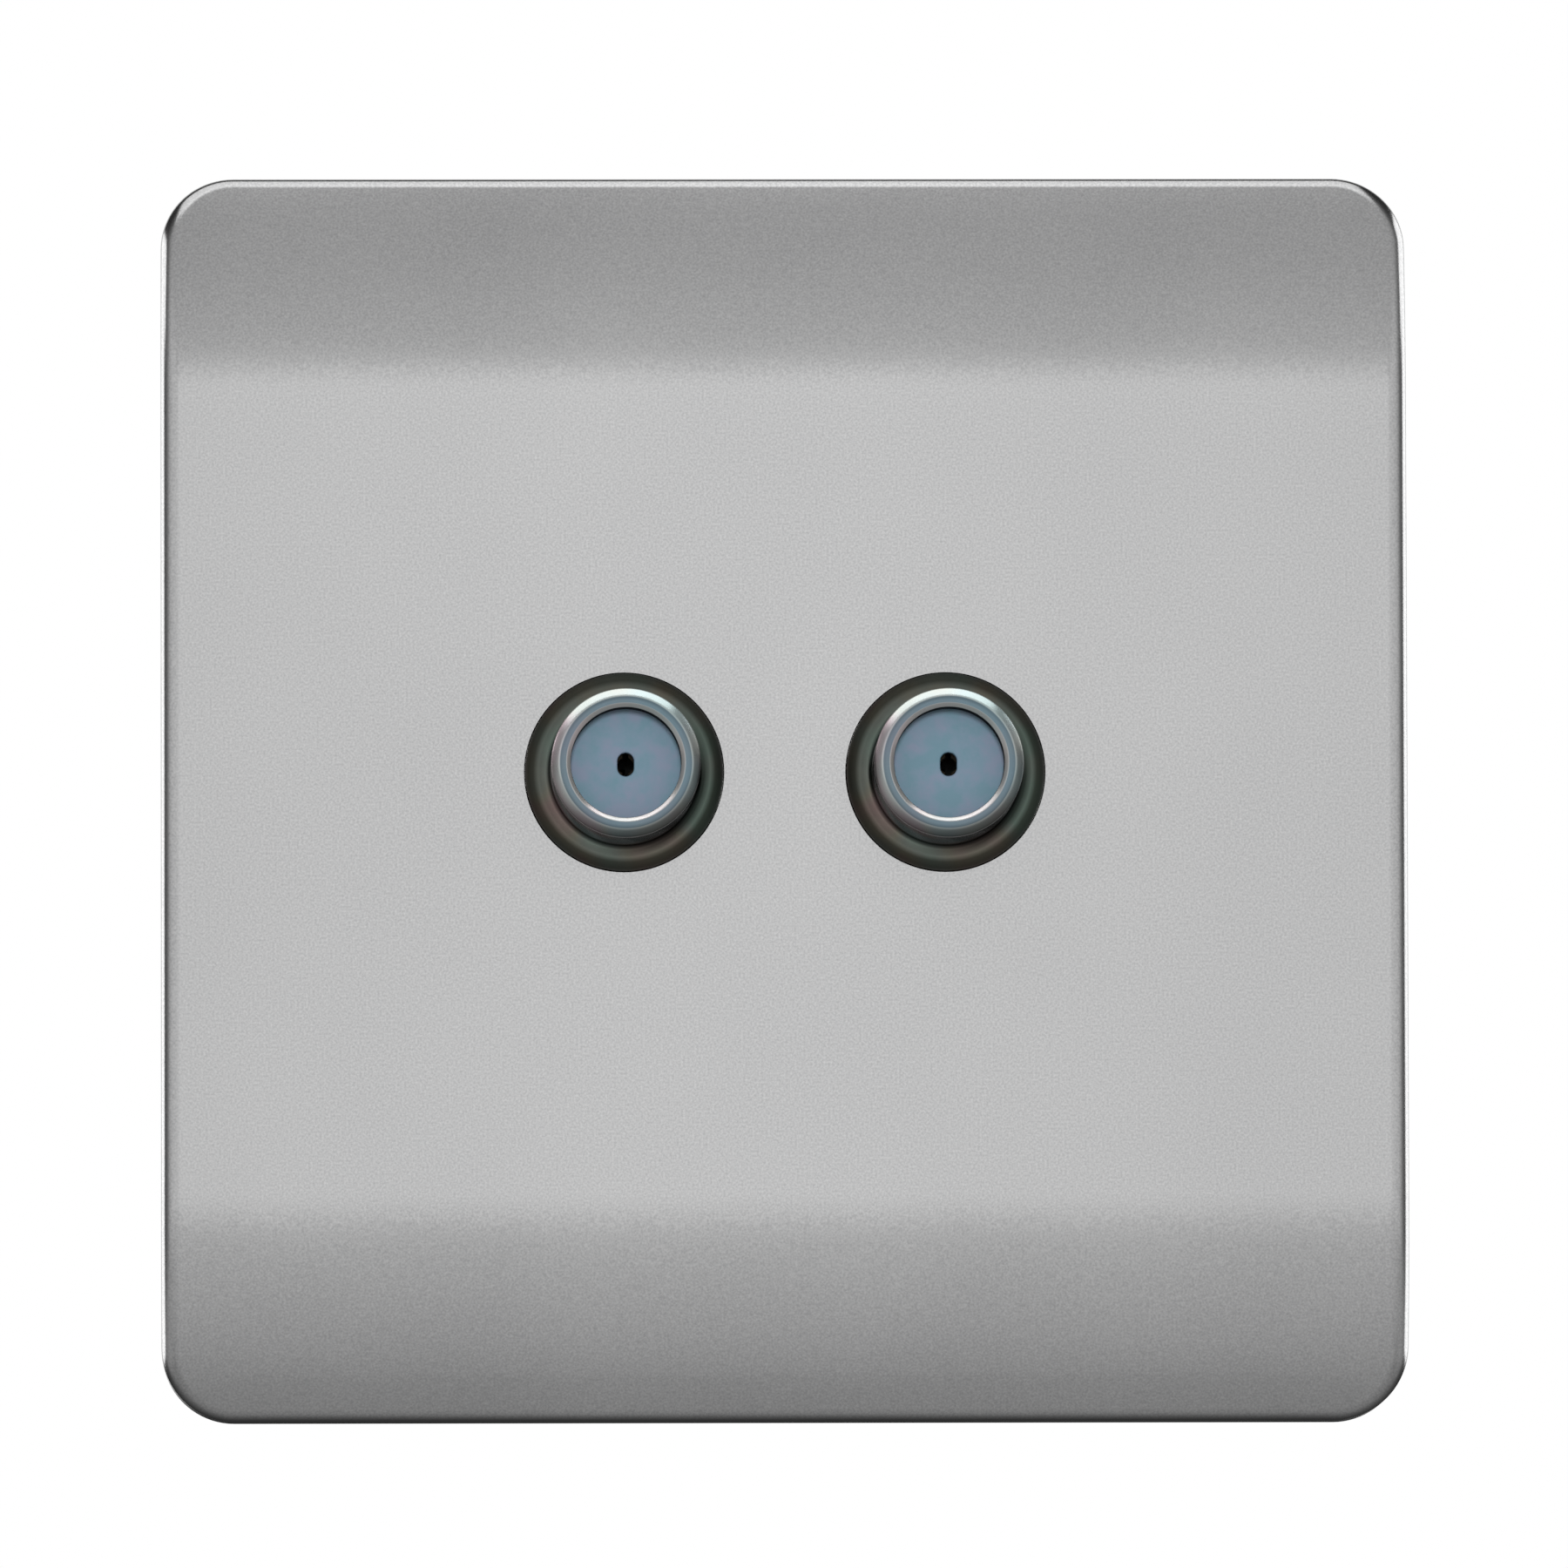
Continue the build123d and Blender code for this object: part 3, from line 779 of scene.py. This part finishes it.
def plated_material():
    """Nickel plating: a nose in lit and shaded copies, a barrel in painted shade below, a dark collar with
    painted shade, and plain behind the seat.
    """
    material, nodes, shader = new_material("plated_shell")
    local, radius, rise, x, z = socket_zones(nodes)
    barrel = (0.14, 0.145, 0.145, 1.0)
    barrel_top = (0.26, 0.265, 0.26, 1.0)
    behind_seat = (0.50, 0.49, 0.46, 1.0)
    # Collar and barrel, with painted shade in the corner between them at the lower right
    above_collar = nodes.map_range(rise, COLLAR_TOP + 0.05, COLLAR_TOP + COLLAR_FILLET)
    # Painted shade: the thread is darker below and paler above
    thread = nodes.mix(nodes.map_range(z, -1.0, 3.0), barrel, barrel_top)
    front = nodes.mix(above_collar, collar_colour(nodes, radius, z), thread)
    lower_right = nodes.weighted(x, 0.85, z, -0.5)
    near_barrel = nodes.map_range(radius, THREAD_RADIUS + 0.75, THREAD_RADIUS + 0.35)
    front = nodes.multiply(front, nodes.map_range(lower_right, 0.5, 4.5, 1.0, 0.18), near_barrel)
    # The nose and the bore behind it
    nose_start = FRONT_END - NOSE_LEAD_DEPTH
    on_nose = nodes.map_range(rise, nose_start - 0.06, nose_start)
    in_bore = nodes.map_range(radius, THREAD_RADIUS - 0.6, THREAD_RADIUS - 0.7)
    on_end = nodes.math("MAXIMUM", on_nose, in_bore)
    front = nodes.mix(on_end, front, nose_colour(nodes, radius, x, z))
    clean = nodes.mix(nodes.map_range(rise, SEAT_RISE, SEAT_RISE + 0.5), behind_seat, front)
    # The film is thin on the nose's end and behind the seat
    film_start = 4.2
    film_on_end = nodes.map_range(radius, film_start, THREAD_RADIUS + 0.1, 0.25, 0.85)
    film_behind = nodes.map_range(rise, SEAT_RISE, SEAT_RISE + 0.5, 0.25, 1.0)
    film_strength = nodes.math("MULTIPLY", film_on_end, film_behind)
    colour = nodes.multiply(clean, film_colour(nodes, local, x), film_strength)
    nodes.link(colour, shader.inputs["Base Color"])
    shader.inputs["Metallic"].default_value = 1.0
    smear = nodes.noise(local, 0.9, 3.0, 0.6)
    polish = nodes.map_range(smear, 0.2, 0.8, 0.20, 0.28)
    matt = nodes.map_range(radius, THREAD_RADIUS + 0.3, COLLAR_RADIUS - 0.5, 0.05, 0.36)
    bore_matt = nodes.map_range(radius, RIM_RADIUS + 0.03, RIM_RADIUS + 0.01, 0.0, 0.7)
    roughness = nodes.math("ADD", nodes.math("ADD", polish, matt), bore_matt)
    nodes.link(roughness, shader.inputs["Roughness"])
    add_bump(nodes, shader, smear, 0.05, 0.00003)
    return material


def insulator_material():
    """The couplers' grey blue insulators, a little mottled."""
    material, nodes, shader = new_material("insulator_plastic")
    position = nodes.position()
    mottle = nodes.noise(position, 700.0, 3.0, 0.6)
    green_blue = (0.105, 0.190, 0.238)
    grey_blue = (0.128, 0.196, 0.255)
    violet_blue = (0.155, 0.194, 0.262)
    colour = nodes.ramp(mottle, [(0.36, green_blue), (0.5, grey_blue), (0.64, violet_blue)])
    nodes.link(colour, shader.inputs["Base Color"])
    nodes.link(nodes.map_range(mottle, 0.2, 0.8, 0.32, 0.45), shader.inputs["Roughness"])
    add_bump(nodes, shader, nodes.noise(position, 2500.0), 0.05, 0.00003)
    return material


def moulded_material(name, dark, light):
    """Plain moulded plastic with a fine texture."""
    material, nodes, shader = new_material(name)
    position = nodes.position()
    texture = nodes.noise(position, 2200.0, 3.0, 0.55)
    cloud = nodes.noise(position, 90.0)
    nodes.link(nodes.ramp(cloud, [(0.3, dark), (0.7, light)]), shader.inputs["Base Color"])
    nodes.link(nodes.map_range(texture, 0.2, 0.8, 0.42, 0.58), shader.inputs["Roughness"])
    add_bump(nodes, shader, texture, 0.08, 0.00004, 0.00015)
    return material


def metal_material(name, dark, light, rough_low, rough_high):
    """Plated steel or bronze with fine scuffs."""
    material, nodes, shader = new_material(name)
    scuff = nodes.noise(nodes.position(), 1500.0)
    nodes.link(nodes.ramp(scuff, [(0.3, dark), (0.7, light)]), shader.inputs["Base Color"])
    shader.inputs["Metallic"].default_value = 1.0
    nodes.link(nodes.map_range(scuff, 0.2, 0.8, rough_low, rough_high), shader.inputs["Roughness"])
    add_bump(nodes, shader, scuff, 0.03, 0.00003, 0.00008)
    return material


def dress(node_name, material):
    """Gives a CAD node one material."""
    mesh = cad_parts[node_name].data
    mesh.materials.clear()
    mesh.materials.append(material)


silver = silver_material()
plated = plated_material()
insulating = insulator_material()
bare_plastic = moulded_material("bare_plastic", (0.42, 0.42, 0.43), (0.48, 0.48, 0.49))
frame_plastic = moulded_material("frame_plastic", (0.66, 0.66, 0.64), (0.74, 0.74, 0.72))
# The contacts' bronze is painted near black, as shade deep in the slots
bronze = metal_material("contact_bronze", (0.035, 0.030, 0.022), (0.060, 0.050, 0.034), 0.45, 0.6)
nickel = metal_material("nickel_nuts", (0.44, 0.44, 0.41), (0.54, 0.53, 0.50), 0.24, 0.38)
zinc = metal_material("zinc_steel", (0.56, 0.57, 0.58), (0.68, 0.69, 0.70), 0.22, 0.38)

fascia = new_object("fascia_shell", fascia_mesh(), "silver_plastic", "fascia")
fascia.data.materials.append(silver)
fascia.data.materials.append(bare_plastic)
for side_name, side in SIDES.items():
    name = f"{side_name}_threaded_shell"
    shell = new_object(name, shell_mesh(name, side), "plated_brass", f"{side_name}_coupler_shell")
    shell.data.materials.append(plated)
    for end_name, (face, outward) in PLUG_FACES.items():
        name = f"{side_name}_{end_name}_plug"
        mesh = insulator_mesh(name, side, face, outward)
        plug = new_object(name, mesh, "insulator_plastic", f"{side_name}_{end_name}_insulator")
        plug.data.materials.append(insulating)
    dress(f"{side_name}_centre_contact", bronze)
dress("mounting_frame", frame_plastic)
dress("lock_washers", zinc)
dress("panel_nuts", nickel)
screws = new_object("threaded_screws", screws_mesh(), "zinc_steel", "fixing_screws")
screws.data.materials.append(zinc)


# Stage: camera, light and floor


def place_camera():
    """A long lens slightly below and left of the plate's middle, as in the photograph."""
    elevation = math.radians(CAMERA_ELEVATION)
    azimuth = math.radians(CAMERA_AZIMUTH)
    roll = math.radians(CAMERA_ROLL)
    ahead = Vector(
        (
            math.sin(azimuth) * math.cos(elevation),
            math.cos(azimuth) * math.cos(elevation),
            -math.sin(elevation),
        )
    )
    right = Vector((math.cos(azimuth), -math.sin(azimuth), 0.0))
    up = right.cross(ahead)
    offset_right = (IMAGE_SIZE / 2 - ORIGIN_PIXEL[0]) / CAMERA_PIXELS_PER_MM
    offset_up = (ORIGIN_PIXEL[1] - IMAGE_SIZE / 2) / CAMERA_PIXELS_PER_MM
    place = (right * offset_right + up * offset_up - ahead * CAMERA_DISTANCE) * MM
    rolled_right = right * math.cos(roll) - up * math.sin(roll)
    rolled_up = up * math.cos(roll) + right * math.sin(roll)
    data = bpy.data.cameras.new("camera")
    data.sensor_width = SENSOR
    data.lens = CAMERA_PIXELS_PER_MM * CAMERA_DISTANCE * SENSOR / IMAGE_SIZE
    data.clip_start = 0.05
    data.clip_end = 50.0
    camera = bpy.data.objects.new("camera", data)
    turn = Matrix((rolled_right, rolled_up, -ahead)).transposed()
    camera.matrix_world = Matrix.Translation(place) @ turn.to_4x4()
    bpy.context.scene.collection.objects.link(camera)
    bpy.context.scene.camera = camera


def light_world():
    """The studio that reflections show: pale round the camera, darker towards the sides and below."""
    world = bpy.data.worlds.new("studio")
    world.use_nodes = True
    bpy.context.scene.world = world
    nodes = Nodes(world.node_tree)
    _, y, z = nodes.split(nodes.add("ShaderNodeTexCoord").outputs["Generated"])
    # The angle from straight out of the plate, as a share of a half turn
    facing = nodes.math("MULTIPLY", y, -1.0)
    angle = nodes.math("DIVIDE", nodes.math("ARCCOSINE", facing), math.pi)
    # How far the direction leans up or down round the plate's axis
    across = nodes.math("SUBTRACT", 1.0, nodes.math("MULTIPLY", facing, facing))
    across = nodes.math("SQRT", nodes.math("MAXIMUM", across, 1e-6))
    lean = nodes.math("DIVIDE", z, across)

    def card(*stops):
        """A card's brightness by the angle from straight out of the plate, in degrees."""
        return nodes.ramp(angle, [(degrees / 180, level) for degrees, level in stops])

    above = card(
        (0, 0.99), (3, 1.06), (6, 1.11), (9.5, 1.10), (12, 0.93), (15, 0.72), (19, 0.66),
        (24, 0.645), (30, 0.62), (37, 0.585), (44, 0.56), (51, 0.55), (57, 0.53), (63, 0.52),
        (71, 0.45), (80, 0.20), (90, 0.08), (110, 0.03), (140, 0.03), (150, 0.90),
    )
    beside = card(
        (0, 0.99), (8, 0.93), (19, 0.88), (35, 0.82), (47, 0.76), (53, 0.72), (58, 0.66), (65, 0.56),
        (71, 0.42), (78, 0.27), (85, 0.18), (92, 0.13), (100, 0.06), (110, 0.03), (140, 0.03), (150, 0.90),
    )
    below = card(
        (0, 0.99), (3, 0.96), (5.5, 0.80), (8, 0.73), (12, 0.69), (18, 0.655), (23, 0.62),
        (28, 0.59), (32, 0.565), (37.5, 0.525), (42, 0.485), (50, 0.415), (56, 0.35), (62, 0.34),
        (75, 0.32), (88, 0.26), (105, 0.16), (124, 0.097), (145, 0.053), (170, 0.03),
    )
    low_side = card(
        (0, 0.99), (3, 0.96), (6, 0.82), (10, 0.74), (18, 0.68), (30, 0.61), (45, 0.54),
        (60, 0.48), (80, 0.43), (98, 0.32), (112, 0.10), (140, 0.04), (170, 0.03),
    )
    upward = nodes.map_range(lean, 0.30, 0.86, kind="SMOOTHSTEP")
    sinking = nodes.map_range(lean, -0.05, -0.28, kind="SMOOTHSTEP")
    downward = nodes.map_range(lean, -0.45, -0.80, kind="SMOOTHSTEP")
    upper = nodes.mix(upward, beside, above)
    studio = nodes.mix(downward, nodes.mix(sinking, upper, low_side), below)
    # The camera sees plain white behind the object, and so does light that passes through a piece
    rays = nodes.add("ShaderNodeLightPath")
    seen = nodes.math("MAXIMUM", rays.outputs["Is Camera Ray"], rays.outputs["Is Transmission Ray"])
    colour = nodes.mix(seen, studio, (1.0, 1.0, 1.0, 1.0))
    background = nodes.add("ShaderNodeBackground")
    output = nodes.add("ShaderNodeOutputWorld")
    nodes.link(colour, background.inputs["Color"])
    nodes.link(background.outputs["Background"], output.inputs["Surface"])


def hang_lamp(name, centre, aim, size, level):
    """A rectangular soft lamp of one brightness, seen in reflections but not by the camera."""
    data = bpy.data.lights.new(name, "AREA")
    data.shape = "RECTANGLE"
    data.size = size[0]
    data.size_y = size[1]
    data.energy = level * math.pi * size[0] * size[1]
    lamp = bpy.data.objects.new(name, data)
    lamp.location = centre
    lamp.rotation_euler = Vector(aim).to_track_quat("-Z", "Y").to_euler()
    lamp.visible_camera = False
    bpy.context.scene.collection.objects.link(lamp)
    return lamp


def link_lamp(lamp, state):
    """Lets a lamp light only the fascia, or all but the fascia, as a flag on its stand would."""
    receivers = bpy.data.collections.new(f"{lamp.name}_receivers")
    receivers.objects.link(fascia)
    receivers.collection_objects[0].light_linking.link_state = state
    lamp.light_linking.receiver_collection = receivers


def hang_lamps():
    """A wide lamp over the sockets, the plate's own strip with a dimmer one before it, and side panels."""
    down = (0, 0, -1)
    rightward = (1, 0, 0)
    leftward = (-1, 0, 0)
    panel_level = 1.8
    overhead = hang_lamp("overhead", (-0.28, 0.13, 1.0), down, (2.10, 0.83), 1.35)
    link_lamp(overhead, "EXCLUDE")
    top_strip = hang_lamp("top_strip", (-0.165, 0.13, 1.0), down, (0.97, 0.83), 1.17)
    link_lamp(top_strip, "INCLUDE")
    top_fade = hang_lamp("top_fade", (-0.10, -0.35, 1.0), down, (0.64, 0.13), 0.85)
    link_lamp(top_fade, "INCLUDE")
    hang_lamp("left_panel", (-0.8, 0.65, 0.085), rightward, (0.82, 0.69), panel_level)
    hang_lamp("left_wing", (-0.8, 0.16, 0.31), rightward, (0.16, 0.24), panel_level)
    hang_lamp("right_panel", (0.8, 0.63, 0.23), leftward, (0.86, 0.98), panel_level)
    hang_lamp("right_wing", (0.8, 0.13, 0.455), leftward, (0.14, 0.53), panel_level)


def hang_key():
    """A soft sun from the front that only matt surfaces take, as reflections don't show it."""
    data = bpy.data.lights.new("key", "SUN")
    data.energy = 2.4
    data.angle = math.radians(10)
    key = bpy.data.objects.new("key", data)
    key.rotation_euler = Vector((0.0, 0.99, -0.12)).to_track_quat("-Z", "Y").to_euler()
    key.visible_glossy = False
    bpy.context.scene.collection.objects.link(key)


def lay_floor():
    """A pale floor well below the plate, which hangs on a wall in use."""
    build = bmesh.new()
    bmesh.ops.create_grid(build, x_segments=1, y_segments=1, size=0.9)
    mesh = bpy.data.meshes.new("floor")
    build.to_mesh(mesh)
    build.free()
    floor = bpy.data.objects.new("floor", mesh)
    floor.location = (0.0, 0.0, -0.3)
    floor.visible_glossy = False
    material, nodes, shader = new_material("pale_floor")
    shade = nodes.noise(nodes.add("ShaderNodeTexCoord").outputs["Generated"], 6.0)
    nodes.link(nodes.ramp(shade, [(0.3, 0.80), (0.7, 0.83)]), shader.inputs["Base Color"])
    shader.inputs["Roughness"].default_value = 0.8
    mesh.materials.append(material)
    bpy.context.scene.collection.objects.link(floor)


place_camera()
light_world()
hang_lamps()
hang_key()
lay_floor()
bpy.context.scene.view_settings.view_transform = "Standard"
